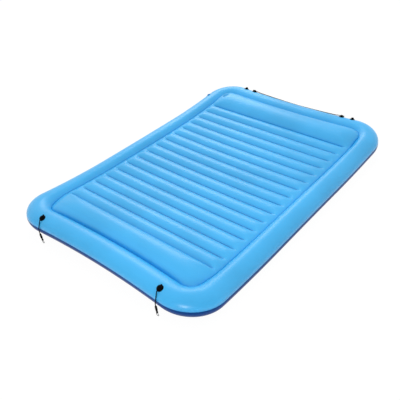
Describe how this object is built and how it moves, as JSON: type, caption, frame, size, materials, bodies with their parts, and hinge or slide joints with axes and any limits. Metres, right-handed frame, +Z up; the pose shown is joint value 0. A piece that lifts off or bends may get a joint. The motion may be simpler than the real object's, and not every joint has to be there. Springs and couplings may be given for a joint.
{
  "type": "pool air mattress",
  "caption": "Inflatable rectangular pool mattress: a raised tube frames a channelled deck with a pillow at each end, tether clips on short cords, a grab rope and capped air valves.",
  "frame": {"origin": "on the ground under the middle of the mat", "axes": "+Z up; +Y along the mat's length towards the head end with the grab rope; +X to the right, seen from the foot end with the clips"},
  "size_m": [1.819, 2.6855, 0.2424],
  "materials": {
    "sky_pvc": "smooth sheet with a soft sheen",
    "navy_pvc": "smooth sheet with a soft sheen",
    "inner_pvc": "plain translucent sheet, hidden inside",
    "black_rubber": "moulded, matt",
    "black_cord": "braided",
    "black_plastic": "moulded, satin",
    "polished_steel": "polished",
    "valve_vinyl": "soft moulded vinyl"
  },
  "bodies": {
    "mat": {"rim_top_skin": "sky_pvc", "rim_bottom_skin": "navy_pvc", "partition_band": "inner_pvc", "deck_top_skin": "sky_pvc", "deck_bottom_skin": "navy_pvc", "i_beam_01": "inner_pvc", "i_beam_02": "inner_pvc", "i_beam_03": "inner_pvc", "i_beam_04": "inner_pvc", "i_beam_05": "inner_pvc", "i_beam_06": "inner_pvc", "i_beam_07": "inner_pvc", "i_beam_08": "inner_pvc", "i_beam_09": "inner_pvc", "i_beam_10": "inner_pvc", "i_beam_11": "inner_pvc", "i_beam_12": "inner_pvc", "i_beam_13": "inner_pvc", "i_beam_14": "inner_pvc", "i_beam_15": "inner_pvc", "i_beam_16": "inner_pvc", "tether_eye_left": "black_rubber", "tether_eye_right": "black_rubber", "tether_knot_left": "black_cord", "tether_knot_right": "black_cord", "tether_cord_left": "black_cord", "tether_cord_right": "black_cord", "cord_sleeve_left": "black_plastic", "cord_sleeve_right": "black_plastic", "head_eye_left": "black_rubber", "head_eye_right": "black_rubber", "rope_eye_left": "black_rubber", "rope_eye_right": "black_rubber", "rope_knot_left": "black_cord", "rope_knot_right": "black_cord", "grab_rope": "black_cord", "deck_valve_seat": "valve_vinyl", "rim_valve_seat": "valve_vinyl"},
    "deck_cap": {"deck_valve_cap": "valve_vinyl"},
    "rim_cap": {"rim_valve_cap": "valve_vinyl"},
    "deck_flap": {"deck_valve_check_flap": "valve_vinyl"},
    "rim_flap": {"rim_valve_check_flap": "valve_vinyl"},
    "left_clip": {"swivel_collar_left": "black_plastic", "snap_ring_left": "polished_steel", "gate_pin_left": "polished_steel"},
    "right_clip": {"swivel_collar_right": "black_plastic", "snap_ring_right": "polished_steel", "gate_pin_right": "polished_steel"},
    "left_gate": {"snap_gate_left": "polished_steel"},
    "right_gate": {"snap_gate_right": "polished_steel"}
  },
  "joints": [
    {"name": "deck_valve_cap_hinge", "type": "hinge", "parent": "mat", "child": "deck_cap", "pos_m": [-0.67651, 1.06591, 0.20084], "axis": [-0.6289, 0.7775, 0], "range_deg": [0, 120]},
    {"name": "rim_valve_cap_hinge", "type": "hinge", "parent": "mat", "child": "rim_cap", "pos_m": [-0.84591, 1.01214, 0.20194], "axis": [-0.167, 0.986, 0], "range_deg": [0, 120]},
    {"name": "deck_valve_flap_hinge", "type": "hinge", "parent": "mat", "child": "deck_flap", "pos_m": [-0.69411, 1.05168, 0.18439], "axis": [-0.6289, 0.7775, 0], "range_deg": [0, 50], "stiffness_Nm_per_rad": 0.0002, "springref_deg": -28.65},
    {"name": "rim_valve_flap_hinge", "type": "hinge", "parent": "mat", "child": "rim_flap", "pos_m": [-0.86048, 1.00967, 0.17817], "axis": [-0.167, 0.986, 0], "range_deg": [0, 50], "stiffness_Nm_per_rad": 0.0002, "springref_deg": -28.65},
    {"name": "left_clip_swivel", "type": "hinge", "parent": "mat", "child": "left_clip", "pos_m": [-0.56547, -1.3405, 0.06787], "axis": [-0.1908, 0, 0.9816], "continuous": true},
    {"name": "right_clip_swivel", "type": "hinge", "parent": "mat", "child": "right_clip", "pos_m": [0.58594, -1.3405, 0.06726], "axis": [-0.1045, 0, 0.9945], "continuous": true},
    {"name": "left_gate_hinge", "type": "hinge", "parent": "left_clip", "child": "left_gate", "pos_m": [-0.5669, -1.3405, 0.0574], "axis": [0, -1, 0], "range_deg": [0, 35], "stiffness_Nm_per_rad": 0.02, "springref_deg": -34.38},
    {"name": "right_gate_hinge", "type": "hinge", "parent": "right_clip", "child": "right_gate", "pos_m": [0.58361, -1.3405, 0.05696], "axis": [0, -1, 0], "range_deg": [0, 35], "stiffness_Nm_per_rad": 0.02, "springref_deg": -34.38}
  ]
}
